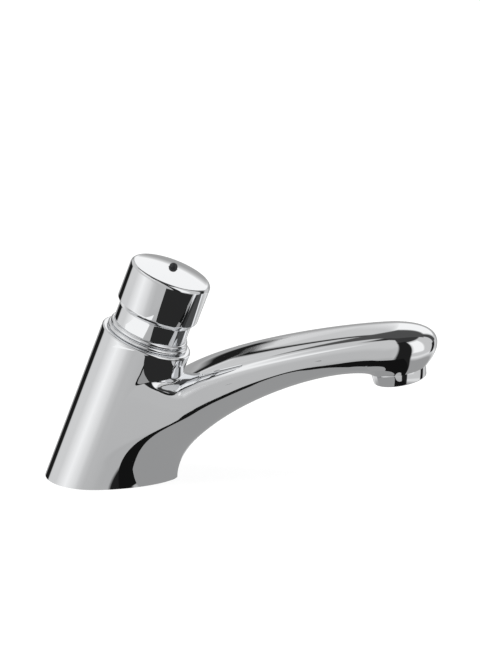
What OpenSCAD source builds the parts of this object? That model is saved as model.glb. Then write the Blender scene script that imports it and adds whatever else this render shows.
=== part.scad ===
// Push timed basin tap: a leaning barrel with a push button, a foot and a swan spout in one casting.
// Millimetres, +Z up, +X along the spout, origin on the deck under the water inlet.

/* [Barrel and foot] */
// Outside diameter of the leaning barrel
barrel_d = 40; // [39:0.5:44]
// Lean of the barrel towards the spout, degrees from upright
barrel_lean = 20; // [16:0.5:23]
// Length of the barrel along its axis, from the deck to the rim
barrel_len = 67.5; // [66:0.5:72]
// Rounding of the barrel's rim
rim_round = 0.9; // [0.4:0.1:1.2]
// Reach of the foot in front of the barrel's axis, at the deck
foot_reach = 36; // [33:0.5:42]
// Distance from the barrel's axis to the inlet, at the deck
inlet_offset = 7.5; // [6:0.5:9]

/* [Spout] */
// Reach of the outlet in front of the barrel's axis, at the deck
outlet_reach = 131; // [122:1:145]
// Height of the outlet's mouth above the deck
outlet_h = 53; // [50:0.5:60]
// Tilt of the outlet, degrees from straight down
outlet_tilt = 10; // [4:0.5:14]
// Radius of the outlet's mouth
mouth_r = 12.8; // [12.4:0.1:14]
// Distance of the crotch between barrel and spout from the deck, along the barrel
crotch_len = 57.2; // [55:0.1:59]
// Height of the spout's highest point above the deck
crown_h = 72.3; // [70:0.1:78]
// Half width of the spout at its crown
crown_half_w = 15.5; // [14.5:0.1:17]
// Radius of the waterway
waterway_r = 4; // [3.5:0.1:4.5]

/* [Button and collar] */
// Radius of the button's head
head_r = 18; // [17.6:0.1:19]
// Length of the head's straight wall
head_len = 16.5; // [15:0.5:18]
// Rounding of the head's top edge
head_round = 1.2; // [0.6:0.1:1.6]
// Rise of the domed top above the head's edge
dome_rise = 1.9; // [1:0.1:2.6]
// Length of the cone between head and skirt
cone_len = 2.4; // [1.8:0.1:2.8]
// Radius of the button's skirt
skirt_r = 16.2; // [15.6:0.1:16.4]
// Wall of the button
button_wall = 1.6; // [1.2:0.1:2]
// Gap between the head's cone and the collar, at rest
head_gap = 7.4; // [7:0.1:8.5]
// Travel of the button
push_travel = 6; // [4:0.5:6]
// Height of the collar above the rim
collar_h = 4; // [3.6:0.1:4.6]
// Outside radius of the collar
collar_r = 18; // [17.9:0.05:18.4]
// Radius of the dark marker in the button's top
marker_r = 1.8; // [1.2:0.1:2.4]

/* [Cartridge] */
// Radius of the cartridge's bore in the casting
cartridge_r = 13; // [12.6:0.1:13.4]
// Bore of the timing cylinder
cylinder_r = 10; // [9.6:0.1:10.3]
// Radius of the spindle
spindle_r = 3.5; // [3:0.1:3.8]
// Radius of the spindle's threaded lower end
stem_r = 2.5; // [2:0.1:2.8]
// Thickness of the valve seat
seat_t = 3; // [2.8:0.1:3.2]
// Bore of the valve seat
seat_bore_r = 6; // [5.5:0.1:6.4]
// Radius of the valve washer
valve_r = 7.6; // [7.4:0.1:8]
// Radius of the inlet chamber
chamber_r = 9; // [8.7:0.1:9.2]
// Length of the return spring as fitted
spring_len = 11; // [10.8:0.1:11.2]
// Wire diameter of the return spring
spring_wire_d = 0.9; // [0.7:0.05:1]
// Number of turns of the return spring
spring_turns = 4; // [3.5:0.5:4]
// Radius of the metering pin
pin_r = 0.6; // [0.5:0.05:0.7]

/* [Deck connections] */
// Radius of the inlet's thread, before threading
inlet_r = 7.5; // [6.8:0.1:7.8]
// Radius of the fixing stud's thread, before threading
stud_r = 3.4; // [2.5:0.1:3.6]
// Depth of the fixing stud's thread
stud_depth = 12; // [9:0.5:13]
// Distance of the fixing stud from the inlet
stud_offset = 12.5; // [12:0.1:13.5]
// Depth of the seal's groove under the foot
base_groove = 1.6; // [1:0.1:1.8]

/* [Aerator] */
// Radius of the aerator's ring, at its top
aerator_r = 12; // [11.8:0.1:12.3]
// Height of the aerator's ring
aerator_h = 5.2; // [4.6:0.1:6]
// Taper of the ring's radius, top to bottom
aerator_taper = 0.6; // [0.2:0.1:0.8]
// Radius of the aerator's thread
aerator_thread_r = 11; // [10.8:0.1:11.2]
// Depth of the aerator's seat in the spout
aerator_seat = 9; // [8:0.5:9.5]
// Bore of the aerator's ring
aerator_bore_r = 9.6; // [9:0.1:9.8]
// Radius of the holes in the screens
screen_hole_r = 0.7; // [0.5:0.05:0.8]

/* [Fits] */
// Radial clearance of a sliding or screwed fit
fit = 0.05; // [0.03:0.01:0.08]
// Gap between faces that meet when the valve is shut
shut_gap = 0.3; // [0.2:0.05:0.4]

/* [Hidden] */
$fn = 64;
over = 1;

// Finishes
chrome = [0.86, 0.87, 0.88];
brass = [0.78, 0.66, 0.36];
steel = [0.68, 0.69, 0.7];
rubber = [0.1, 0.1, 0.1];
acetal = [0.9, 0.9, 0.87];
dark_plastic = [0.13, 0.13, 0.14];

// Side view of the casting, as [x, z] points from the barrel's axis at the deck
barrel_r = barrel_d / 2;
axis_x = -inlet_offset;
axis_dir = [sin(barrel_lean), cos(barrel_lean)];
front_dir = [cos(barrel_lean), -sin(barrel_lean)];
mouth = [outlet_reach, outlet_h];
heel = mouth - mouth_r * heading(outlet_tilt);
toe = mouth + mouth_r * heading(outlet_tilt);
crotch = crotch_len * axis_dir + barrel_r * front_dir;
crown_lead = 1;
crown = [outlet_reach + crown_lead, crown_h];

// Pulls of the three curves: how far each one runs on before it bends away, and which way
foot_rise = 23.4;
arch_pull = 33.8;
arch_slope = -2;
shoulder_pull = 31.7;
shoulder_slope = 30.5;
crown_back_pull = 6.7;
crown_front_pull = 16.5;
nose_pull = 12.5;
nose_slope = 53;
underside = [[foot_reach, 0], [foot_reach, foot_rise], heel - arch_pull * heading(arch_slope), heel];
spout_top = [crotch, crotch + shoulder_pull * heading(shoulder_slope), crown - [crown_back_pull, 0], crown];
nose = [crown, crown + [crown_front_pull, 0], toe + nose_pull * heading(nose_slope), toe];

// Where along the underside the flank leaves the barrel, the spout is whole and the nose begins
flank_end = 0.09;
root_end = 0.36;
nose_start = 0.93;
flank_len = 12;
side_len = 40;
corner_len = 55.5;
corner_lead = 8;
crotch_lead = 4;

// Fullness of the sections: 2 is an ellipse, more is squarer, less is more pointed
foot_fullness = 1.6;
belly_fullness = 2.2;
corner_fullness = 8;
shoulder_fullness = 4;

// Facets of the casting's skin
foot_steps = 4;
root_steps = 16;
spout_steps = 14;
nose_steps = 12;
low_ring = 10;
high_ring = 8;
half_ring = low_ring + high_ring;
rear_columns = 28;
rim_rows = 4;
round_rows = 4;
flank_row = foot_steps;
root_row = flank_row + root_steps;
nose_row = root_row + spout_steps;
mouth_row = nose_row + nose_steps;
trim_rounds = 24;

// Distances along the barrel's axis
rim = barrel_len;
collar_top = rim + collar_h;
cone_bottom = collar_top + head_gap;
head_bottom = cone_bottom + cone_len;
head_top = head_bottom + head_len + head_round;
skirt_overlap = 9;
skirt_bottom = collar_top - skirt_overlap;
guide_t = 2.5;
guide_gap = 2.3;
guide_top = skirt_bottom - push_travel - guide_gap;
gasket_t = 1;
ledge = guide_top - guide_t - gasket_t;
spigot_len = 1.9;
spigot_bottom = guide_top - guide_t - spigot_len;
rest_gap = 0.5;
ring_t = 0.8;
ring_bottom = spigot_bottom - rest_gap - ring_t;
seal_t = 1.6;
piston_top = ring_bottom - seal_t;
piston_t = 3;
piston_bottom = piston_top - piston_t;
spring_slack = 0.05;
spring_bottom = piston_bottom - spring_len - 2 * spring_slack;
washer_t = 0.8;
seat_top = spring_bottom - washer_t;
seat_len = seat_top - seat_t;
lip_h = 0.6;
lip_w = 1.2;
valve_top = seat_len - lip_h - shut_gap;
valve_t = 2.2;
carrier_t = 2;
nut_t = 2.4;
stem_tail = 0.3;
carrier_top = valve_top - valve_t;
nut_top = carrier_top - carrier_t;
stem_bottom = nut_top - nut_t - stem_tail;
chamber_bottom = stem_bottom - push_travel - rest_gap;
collar_bore_r = skirt_r + fit;
skirt_bore_r = skirt_r - button_wall;

// Cartridge details
port_count = 6;
port_r = 2;
port_rise = 2.8;
port_len = spring_bottom + port_rise;
relief_depth = 1.2;
ring_section_r = 0.9;
groove_slack = 0.3;
groove_w = 2 * ring_section_r + groove_slack;
seat_ring_r = cartridge_r - fit - ring_section_r;
sleeve_ring_len = piston_top;
neck_r = 6.5;
neck_len = 6;
spindle_ring_r = spindle_r + fit + ring_section_r;
pin_offset = 5.4;
pin_bottom = piston_bottom - push_travel - rest_gap;
clip_w = 1.2;
clip_r = spindle_r + clip_w;
clip_groove = 0.35;
spring_clear = 1.2;
spring_r = cylinder_r - spring_clear - spring_wire_d / 2;
boss_r = 6.5;
boss_drop = 1;
boss_bottom = head_bottom - boss_drop;
roof_extra = 0.4;
lock_nut_t = 4;
lock_nut_r = 6.2;
spindle_cover = 1;
spindle_top = head_top - button_wall - spindle_cover;
wiper_h = 2.2;
wiper_depth = 0.9;
wiper_drop = 4.5;
wiper_bottom = rim - wiper_drop;
marker_depth = 1.6;
marker_neck = 0.4;

// Spring path
spring_sides = 6;
spring_rings_per_turn = 8;
spring_rings = spring_turns * spring_rings_per_turn;
spring_rise = spring_len - spring_wire_d;

// Deck side
seal_inset = 1.6;
seal_w = 2.2;
seal_slack = 0.1;
strainer_t = 1.2;
strainer_step = 0.6;
strainer_slack = 0.1;
strainer_r = inlet_r - strainer_step;
floor_gap = 0.4;
strainer_top = chamber_bottom * cos(barrel_lean) - chamber_r * sin(barrel_lean) - floor_gap;
inlet_depth = strainer_top - strainer_t - strainer_slack;
entry_r = 5.5;
entry_rise = 6;
entry_top = strainer_top + entry_rise;

// Aerator details
aerator_lip = 1;
aerator_lip_w = 0.9;
aerator_lip_r = aerator_bore_r - aerator_lip_w;
gasket_h = 1.2;
gasket_w = 2.2;
screen_t = 0.8;
screen_pitch = 2.3;
insert_rib = 1;
insert_plate = 2;
insert_pitch = 3;

function heading(a) = [cos(a), sin(a)];
function ease(t) = let(u = max(0, min(1, t))) u * u * (3 - 2 * u);
function mix(a, b, t) = a + (b - a) * t;
function bezier(p, t) =
    let(s = 1 - t)
    s * s * s * p[0] + 3 * s * s * t * p[1] + 3 * s * t * t * p[2] + t * t * t * p[3];
function bezier_speed(p, t) =
    let(s = 1 - t)
    3 * (s * s * (p[1] - p[0]) + 2 * s * t * (p[2] - p[1]) + t * t * (p[3] - p[2]));

// Inside the barrel the middle of the sections leaves its axis smoothly, and their tops run level to the crotch
root_centre = (bezier(underside, root_end) + crotch) / 2;
root_speed = (bezier_speed(underside, root_end) + bezier_speed(spout_top, 0) / (nose_start - root_end)) / 2;
third = (root_end - flank_end) / 3;
flank_path = [flank_len * axis_dir, flank_len * (1 + third / flank_end) * axis_dir, root_centre - third * root_speed,
    root_centre];
corner_path = [corner_len * axis_dir, corner_len * axis_dir + corner_lead * front_dir,
    crotch - crotch_lead * heading(shoulder_slope), crotch];

// One section of the casting at t along the underside: middle, top, half width, fullness above and below
function flank_part(t) = (t - flank_end) / (root_end - flank_end);
function section_centre(t) =
    t <= flank_end ? flank_len * t / flank_end * axis_dir :
    t <= root_end ? bezier(flank_path, flank_part(t)) :
    (bezier(underside, t) + section_top(t)) / 2;
function section_top(t) =
    t <= root_end ? bezier(corner_path, flank_part(t)) :
    t <= nose_start ? bezier(spout_top, (t - root_end) / (nose_start - root_end)) :
    bezier(nose, (t - nose_start) / (1 - nose_start));
function section_half_w(t) =
    t <= root_end ? barrel_r :
    t <= nose_start ? mix(barrel_r, crown_half_w, ease((t - root_end) / (nose_start - root_end))) :
    mix(crown_half_w, mouth_r, ease((t - nose_start) / (1 - nose_start)));
function to_round(fullness, t) = mix(fullness, 2, ease((t - root_end) / (1 - root_end)));
function upper_fullness(t) =
    to_round(mix(corner_fullness, shoulder_fullness, ease(flank_part(t))), t);
function lower_fullness(t) = to_round(mix(foot_fullness, belly_fullness, ease(t / root_end)), t);

// A point of that section, from turn -90 at the underside to 90 at the top, on the +Y side
function section_point(t, turn) =
    let(f = turn > 0 ? upper_fullness(t) : lower_fullness(t))
    let(c = section_centre(t))
    let(end = turn > 0 ? section_top(t) : bezier(underside, t))
    let(p = c + (end - c) * pow(abs(sin(turn)), 2 / f))
    [p[0], section_half_w(t) * pow(max(0, cos(turn)), 2 / f), p[1]];
function from_axis(p) = norm([[p[0], p[2]] * front_dir, p[1]]);
function trim_turn(t, low, high, rounds) =
    rounds == 0 ? low :
    let(middle = (low + high) / 2)
    from_axis(section_point(t, middle)) > barrel_r ? trim_turn(t, middle, high, rounds - 1) :
    trim_turn(t, low, middle, rounds - 1);
function last_turn(row) =
    row <= flank_row ? 0 : row >= root_row ? 90 : trim_turn(row_t(row), 0, 90, trim_rounds);
function row_t(row) =
    row <= flank_row ? flank_end * row / foot_steps :
    row <= root_row ? mix(root_end, flank_end, pow((root_row - row) / root_steps, 2)) :
    row <= nose_row ? mix(root_end, nose_start, (row - root_row) / spout_steps) :
    mix(nose_start, 1, (row - nose_row) / nose_steps);

// A point on or above the barrel's wall: turn 0 faces the spout, 90 faces +Y
function barrel_point(r, turn, s) =
    let(p = s * axis_dir + r * cos(turn) * front_dir)
    [p[0], r * sin(turn), p[1]];
function deck_s(turn) = barrel_r * cos(turn) * tan(barrel_lean);
function wall_turn(p) = atan2(p[1], [p[0], p[2]] * front_dir);
function wall_s(p) = [p[0], p[2]] * axis_dir;
function flip(p, k) = k < 0 ? [p[0], -p[1], p[2]] : p;

// Skin of the casting: spout rows, the rear of the barrel, the collar of wall above the crotch and the rim
ring_size = 2 * half_ring + 1;
function ring_turn(row, k) =
    k <= low_ring ? 90 * (k / low_ring - 1) : last_turn(row) * (k - low_ring) / high_ring;
function side_s(k) = mix(flank_len, side_len, (k - low_ring) / high_ring);
function ring_point(row, k) =
    row <= flank_row && k > low_ring ? barrel_point(barrel_r, 90, side_s(k)) :
    section_point(row_t(row), ring_turn(row, k));
spout_points = [for (row = [0 : mouth_row]) for (k = [-half_ring : half_ring]) flip(ring_point(row, abs(k)), k)];
function spout_id(row, k) =
    row * ring_size + half_ring + (k == half_ring && row >= root_row ? -half_ring : k);
rear_start = len(spout_points);
rear_inner = rear_columns - 1;
rear_top = flank_row + high_ring;
function rear_s(row, turn) =
    row <= flank_row ? mix(deck_s(turn), flank_len, row / flank_row) : side_s(low_ring + row - flank_row);
rear_points = [for (row = [0 : rear_top]) for (c = [1 : rear_inner])
    let(turn = 90 + 180 * c / rear_columns)
    barrel_point(barrel_r, turn, rear_s(row, turn))];
function side_id(row, side) =
    spout_id(min(row, flank_row), side * (low_ring + max(0, row - flank_row)));
function rear_id(row, c) =
    c == 0 ? side_id(row, 1) :
    c == rear_columns ? side_id(row, -1) :
    rear_start + row * rear_inner + c - 1;
wall_foot = concat([for (c = [0 : rear_columns]) rear_id(rear_top, c)],
    [for (row = [flank_row + 1 : root_row]) spout_id(row, -half_ring)],
    [for (row = [root_row - 1 : -1 : flank_row + 1]) spout_id(row, half_ring)]);
columns = len(wall_foot);
body_points = concat(spout_points, rear_points);

// Wall above the crotch, row by row, straight up to the rim and then round it
wall_rows = rim_rows + round_rows;
round_s = rim - rim_round;
function round_turn(row) = 90 * max(0, row - rim_rows) / round_rows;
function wall_r(row) = barrel_r - rim_round * (1 - cos(round_turn(row)));
function wall_height(row, foot) =
    mix(foot, round_s, min(1, row / rim_rows)) + rim_round * sin(round_turn(row));
wall_start = len(body_points);
wall_points = [for (row = [1 : wall_rows]) for (id = wall_foot)
    let(p = body_points[id])
    barrel_point(wall_r(row), wall_turn(p), wall_height(row, wall_s(p)))];
function wall_loop(row) =
    row == 0 ? wall_foot : [for (c = [0 : columns - 1]) wall_start + (row - 1) * columns + c];
mouth_loop = [for (k = [-half_ring : half_ring - 1]) spout_id(mouth_row, k)];
deck_loop = concat([for (k = [-low_ring : low_ring]) spout_id(0, k)], [for (c = [1 : rear_inner]) rear_id(0, c)]);
function quad(a, b, c, d) = [[a, b, c], [a, c, d]];
function strip(low, high) =
    [for (i = [0 : len(low) - 1]) let(j = (i + 1) % len(low)) each quad(low[i], high[i], high[j], low[j])];
function backwards(list) = [for (i = [len(list) - 1 : -1 : 0]) list[i]];
skin_points = [for (p = concat(body_points, wall_points)) p + [axis_x, 0, 0]];
skin_faces = concat(
    [for (row = [0 : mouth_row - 1])
        let(side = row < flank_row ? low_ring : half_ring)
        for (k = [-side : side - 1])
        each quad(spout_id(row, k), spout_id(row + 1, k), spout_id(row + 1, k + 1), spout_id(row, k + 1))],
    [for (row = [0 : rear_top - 1]) for (c = [0 : rear_columns - 1])
        each quad(rear_id(row, c), rear_id(row + 1, c), rear_id(row + 1, c + 1), rear_id(row, c + 1))],
    [for (row = [0 : wall_rows - 1]) each strip(wall_loop(row), wall_loop(row + 1))],
    [backwards(mouth_loop), deck_loop, backwards(wall_loop(wall_rows))]);

// Outline of the foot on the deck, drawn in by an inset
function foot_outline(inset) = concat(
    [for (k = [-low_ring : low_ring])
        let(a = 90 * k / low_ring)
        [axis_x + (foot_reach - inset) * pow(cos(a), 2 / foot_fullness),
            (barrel_r - inset) * sign(k) * pow(abs(sin(a)), 2 / foot_fullness)]],
    [for (c = [1 : rear_inner])
        let(a = 90 + 180 * c / rear_columns)
        [axis_x + (barrel_r - inset) * cos(a) / cos(barrel_lean), (barrel_r - inset) * sin(a)]]);

// Places its children on the barrel's axis, with distances measured from the deck
module on_axis(s = 0) {
    translate([axis_x, 0, 0])
        rotate([0, barrel_lean, 0])
            translate([0, 0, s])
                children();
}

// Places its children on the outlet's axis, upwards from the mouth
module on_outlet(h = 0) {
    translate([axis_x + outlet_reach, 0, outlet_h])
        rotate([0, -outlet_tilt, 0])
            translate([0, 0, h])
                children();
}

module tube(outer, inner, h) {
    difference() {
        cylinder(r = outer, h = h);
        translate([0, 0, -over])
            cylinder(r = inner, h = h + 2 * over);
    }
}

module o_ring(r) {
    rotate_extrude()
        translate([r, 0])
            circle(r = ring_section_r, $fn = 32);
}

module hexagon(r, h) {
    cylinder(r = r, h = h, $fn = 6);
}

// A round passage between two [x, z] points
module passage(a, b, r) {
    d = b - a;
    translate([axis_x + a[0], 0, a[1]])
        rotate([0, atan2(d[0], d[1]), 0])
            cylinder(r = r, h = norm(d));
}

module waterway() {
    bends = [root_end, 0.7];
    stops = concat([port_len * axis_dir], [for (t = bends) section_centre(t)],
        [mouth + (aerator_seat + gasket_h) * heading(outlet_tilt + 90)]);
    knuckle = 0.3;
    for (i = [0 : len(stops) - 2])
        passage(stops[i], stops[i + 1], waterway_r);
    for (i = [1 : len(stops) - 1])
        translate([axis_x + stops[i][0], 0, stops[i][1]])
            sphere(r = waterway_r + knuckle);
}

module body_casting() {
    color(chrome)
        difference() {
            polyhedron(skin_points, skin_faces, convexity = 8);
            on_axis(ledge)
                cylinder(r = collar_r + fit, h = rim - ledge + over);
            on_axis(seat_len)
                cylinder(r = cartridge_r, h = ledge - seat_len + over);
            on_axis(chamber_bottom)
                cylinder(r = chamber_r, h = seat_len - chamber_bottom + over);
            translate([0, 0, -over])
                cylinder(r = inlet_r, h = inlet_depth + over);
            cylinder(r = strainer_r, h = strainer_top);
            cylinder(r = entry_r, h = entry_top);
            translate([stud_offset, 0, -over])
                cylinder(r = stud_r, h = stud_depth + over);
            waterway();
            on_outlet(-over)
                cylinder(r = aerator_thread_r + fit, h = aerator_seat + gasket_h + over);
            translate([0, 0, -over])
                linear_extrude(base_groove + over)
                    difference() {
                        polygon(foot_outline(seal_inset));
                        polygon(foot_outline(seal_inset + seal_w));
                    }
        }
}

module base_seal() {
    color(rubber)
        linear_extrude(base_groove - seal_slack)
            difference() {
                polygon(foot_outline(seal_inset + seal_slack));
                polygon(foot_outline(seal_inset + seal_w - seal_slack));
            }
}

// A disc with rings of small holes
module screen(r, t, hole_r, pitch) {
    difference() {
        cylinder(r = r, h = t);
        for (ring = [0 : floor((r - 2 * hole_r) / pitch)])
            for (i = [0 : max(0, 6 * ring - 1)])
                rotate([0, 0, ring == 0 ? 0 : 60 * i / ring])
                    translate([ring * pitch, 0, -over])
                        cylinder(r = hole_r, h = t + 2 * over, $fn = 16);
    }
}

module inlet_strainer() {
    color(steel)
        translate([0, 0, inlet_depth + strainer_slack / 2])
            screen(strainer_r - fit, strainer_t, screen_hole_r, screen_pitch);
}

module valve_seat() {
    color(brass)
        difference() {
            union() {
                on_axis(seat_len)
                    cylinder(r = cartridge_r - fit, h = seat_t);
                on_axis(seat_len - lip_h)
                    cylinder(r = seat_bore_r + lip_w, h = lip_h + seat_t / 2);
            }
            on_axis(seat_len - lip_h - over)
                cylinder(r = seat_bore_r, h = seat_t + lip_h + 2 * over);
            on_axis(seat_len + (seat_t - groove_w) / 2)
                tube(cartridge_r + over, seat_ring_r - ring_section_r, groove_w);
        }
}

module seat_o_ring() {
    color(rubber)
        on_axis(seat_len + seat_t / 2)
            o_ring(seat_ring_r);
}

module cartridge_sleeve() {
    relief_w = 2 * port_r + 2;
    color(brass)
        difference() {
            on_axis(seat_top)
                tube(cartridge_r - fit, cylinder_r, ledge - seat_top);
            on_axis(port_len - relief_w / 2)
                tube(cartridge_r + over, cartridge_r - relief_depth, relief_w);
            on_axis(sleeve_ring_len - groove_w / 2)
                tube(cartridge_r + over, seat_ring_r - ring_section_r, groove_w);
            for (i = [0 : port_count - 1])
                on_axis(port_len)
                    rotate([0, 90, 360 * i / port_count])
                        cylinder(r = port_r, h = cartridge_r + over);
        }
}

module sleeve_o_ring() {
    color(rubber)
        on_axis(sleeve_ring_len)
            o_ring(seat_ring_r);
}

module spring_washer() {
    color(steel)
        on_axis(seat_top)
            tube(cylinder_r - fit, seat_bore_r, washer_t);
}

// Centre line of the spring at ring i, and the corners of its wire there
function spring_point(i) =
    let(a = 360 * i / spring_rings_per_turn)
    [spring_r * cos(a), spring_r * sin(a), spring_wire_d / 2 + spring_rise * i / spring_rings];
function spring_corner(i, k) =
    let(a = 360 * i / spring_rings_per_turn)
    let(b = 360 * (k + 0.5) / spring_sides)
    let(p = spring_point(i))
    let(r = spring_wire_d / 2)
    p + r * [cos(b) * cos(a), cos(b) * sin(a), sin(b)];
spring_points = [for (i = [0 : spring_rings]) for (k = [0 : spring_sides - 1]) spring_corner(i, k)];
spring_last = spring_rings * spring_sides;
spring_faces = concat(
    [for (i = [0 : spring_rings - 1]) for (k = [0 : spring_sides - 1])
        let(a = i * spring_sides + k)
        let(b = i * spring_sides + (k + 1) % spring_sides)
        each quad(a, a + spring_sides, b + spring_sides, b)],
    [[for (k = [0 : spring_sides - 1]) k]],
    [[for (k = [spring_sides - 1 : -1 : 0]) spring_last + k]]);
spring_gap = min([for (i = [0 : spring_rings]) for (j = [i + spring_rings_per_turn - 1 : 1 : spring_rings])
    norm(spring_point(i) - spring_point(j))]) - spring_wire_d;
echo(spring_gap = spring_gap);

module return_spring() {
    color(steel)
        on_axis(spring_bottom + spring_slack)
            polyhedron(spring_points, spring_faces, convexity = 10);
}

module metering_pin() {
    color(steel)
        on_axis(pin_bottom)
            translate([0, pin_offset, 0])
                cylinder(r = pin_r, h = guide_top - pin_bottom, $fn = 24);
}

module guide_gasket() {
    color(rubber)
        on_axis(ledge)
            tube(collar_r - fit, cartridge_r + fit, gasket_t);
}

module cartridge_guide() {
    color(brass)
        difference() {
            on_axis()
                rotate_extrude()
                    polygon([
                        [spindle_r + fit, spigot_bottom],
                        [cylinder_r - fit, spigot_bottom],
                        [cylinder_r - fit, guide_top - guide_t],
                        [collar_r - fit, guide_top - guide_t],
                        [collar_r - fit, guide_top],
                        [neck_r, guide_top],
                        [neck_r, guide_top + neck_len],
                        [spindle_r + fit, guide_top + neck_len]]);
            on_axis(guide_top + neck_len / 2 - groove_w / 2)
                cylinder(r = spindle_ring_r + ring_section_r + fit, h = groove_w);
            on_axis(spigot_bottom - over)
                translate([0, pin_offset, 0])
                    cylinder(r = pin_r, h = guide_top - spigot_bottom + 2 * over, $fn = 24);
        }
}

module spindle_seal() {
    color(rubber)
        on_axis(guide_top + neck_len / 2)
            o_ring(spindle_ring_r);
}

// Stepped ring: a spigot in the barrel's mouth and two rounded beads above the rim
module collar_ring() {
    bead_step = 0.7;
    lower_h = collar_h / 2;
    upper_h = collar_h - lower_h;
    upper_r = collar_r - bead_step;
    color(chrome)
        on_axis()
            rotate_extrude()
                difference() {
                    union() {
                        translate([collar_bore_r, guide_top])
                            square([collar_r - collar_bore_r, rim - guide_top]);
                        translate([collar_bore_r, rim])
                            square([collar_r - lower_h / 2 - collar_bore_r, lower_h]);
                        translate([collar_r - lower_h / 2, rim + lower_h / 2])
                            circle(r = lower_h / 2, $fn = 32);
                        translate([collar_bore_r, rim + lower_h])
                            square([upper_r - upper_h / 2 - collar_bore_r, upper_h]);
                        translate([upper_r - upper_h / 2, rim + lower_h + upper_h / 2])
                            circle(r = upper_h / 2, $fn = 32);
                    }
                    translate([0, wiper_bottom])
                        square([collar_bore_r + wiper_depth, wiper_h]);
                    translate([0, rim])
                        square([collar_bore_r, collar_h]);
                }
}

module wiper_seal() {
    color(rubber)
        on_axis(wiper_bottom)
            tube(collar_bore_r + wiper_depth - fit, collar_bore_r, wiper_h - 2 * fit);
}

// Outer wall of the button from the skirt's end to the edge of its domed top, then the hollow
module button_section() {
    edge_r = head_r - head_round;
    crown_r = (edge_r * edge_r + dome_rise * dome_rise) / (2 * dome_rise);
    roof = head_top - button_wall - roof_extra;
    difference() {
        union() {
            translate([0, skirt_bottom])
                square([skirt_r, cone_bottom - skirt_bottom]);
            polygon([[0, cone_bottom], [skirt_r, cone_bottom], [head_r, head_bottom], [0, head_bottom]]);
            translate([0, head_bottom])
                square([head_r, head_len]);
            translate([0, head_bottom + head_len])
                square([edge_r, head_round]);
            translate([edge_r, head_bottom + head_len])
                circle(r = head_round, $fn = 32);
            intersection() {
                translate([0, head_top + dome_rise - crown_r])
                    circle(r = crown_r, $fn = 128);
                translate([0, head_top - head_round / 2])
                    square([edge_r, dome_rise + head_round]);
            }
        }
        translate([boss_r, boss_bottom])
            square([skirt_bore_r - boss_r, roof - boss_bottom]);
        translate([-over, skirt_bottom - over])
            square([skirt_bore_r + over, boss_bottom - skirt_bottom + over]);
        translate([-over, boss_bottom - over])
            square([spindle_r + fit + over, spindle_top + fit - boss_bottom + over]);
        translate([-head_r - over, skirt_bottom - over])
            square([head_r + over, head_top + dome_rise - skirt_bottom + 2 * over]);
    }
}

module push_button() {
    color(chrome)
        difference() {
            on_axis()
                rotate_extrude()
                    button_section();
            on_axis(head_top + dome_rise - marker_depth)
                cylinder(r = marker_r + fit, h = marker_depth + over, $fn = 32);
        }
}

// A plug in the dome whose round head stands proud
module button_marker() {
    color(dark_plastic)
        on_axis(head_top + dome_rise - marker_depth) {
            cylinder(r = marker_r, h = marker_depth + marker_neck, $fn = 32);
            translate([0, 0, marker_depth + marker_neck])
                sphere(r = marker_r, $fn = 32);
        }
}

module button_lock_nut() {
    color(brass)
        on_axis(boss_bottom - lock_nut_t)
            difference() {
                hexagon(lock_nut_r, lock_nut_t);
                translate([0, 0, -over])
                    cylinder(r = spindle_r + fit, h = lock_nut_t + 2 * over);
            }
}

module spindle() {
    color(steel)
        on_axis()
            rotate_extrude()
                polygon([
                    [0, stem_bottom],
                    [stem_r, stem_bottom],
                    [stem_r, valve_top],
                    [spindle_r, valve_top],
                    [spindle_r, ring_bottom],
                    [spindle_r - clip_groove, ring_bottom],
                    [spindle_r - clip_groove, ring_bottom + ring_t],
                    [spindle_r, ring_bottom + ring_t],
                    [spindle_r, spindle_top],
                    [0, spindle_top]]);
}

// Open spring clip in the spindle's groove
module retaining_ring() {
    mouth_w = 4;
    color(steel)
        on_axis(ring_bottom)
            difference() {
                tube(clip_r, spindle_r - clip_groove + fit, ring_t - fit);
                translate([0, -mouth_w / 2, -over])
                    cube([clip_r + over, mouth_w, ring_t + 2 * over]);
            }
}

// A disc on the spindle with a hole that the metering pin passes through
module bled_disc(r, h) {
    difference() {
        tube(r, spindle_r + fit, h);
        translate([0, pin_offset, -over])
            cylinder(r = pin_r + fit, h = h + 2 * over, $fn = 24);
    }
}

module piston_seal() {
    color(rubber)
        on_axis(piston_top)
            bled_disc(cylinder_r - fit, seal_t);
}

module piston() {
    color(acetal)
        on_axis(piston_bottom)
            bled_disc(cylinder_r - 2 * fit, piston_t);
}

module valve_washer() {
    color(rubber)
        on_axis(carrier_top)
            tube(valve_r, stem_r + fit, valve_t);
}

module valve_carrier() {
    color(brass)
        on_axis(nut_top)
            tube(valve_r, stem_r + fit, carrier_t);
}

module valve_nut() {
    color(steel)
        on_axis(nut_top - nut_t)
            difference() {
                hexagon(2 * stem_r, nut_t);
                translate([0, 0, -over])
                    cylinder(r = stem_r + fit, h = nut_t + 2 * over);
            }
}

module aerator_housing() {
    bottom_r = aerator_r - aerator_taper;
    color(chrome)
        on_outlet()
            rotate_extrude()
                polygon([
                    [aerator_bore_r, aerator_seat],
                    [aerator_thread_r, aerator_seat],
                    [aerator_thread_r, 0],
                    [aerator_r, 0],
                    [bottom_r, -aerator_h],
                    [aerator_lip_r, -aerator_h],
                    [aerator_lip_r, aerator_lip - aerator_h],
                    [aerator_bore_r, aerator_lip - aerator_h]]);
}

module aerator_gasket() {
    color(rubber)
        on_outlet(aerator_seat)
            tube(aerator_thread_r, aerator_thread_r - gasket_w, gasket_h);
}

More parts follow.
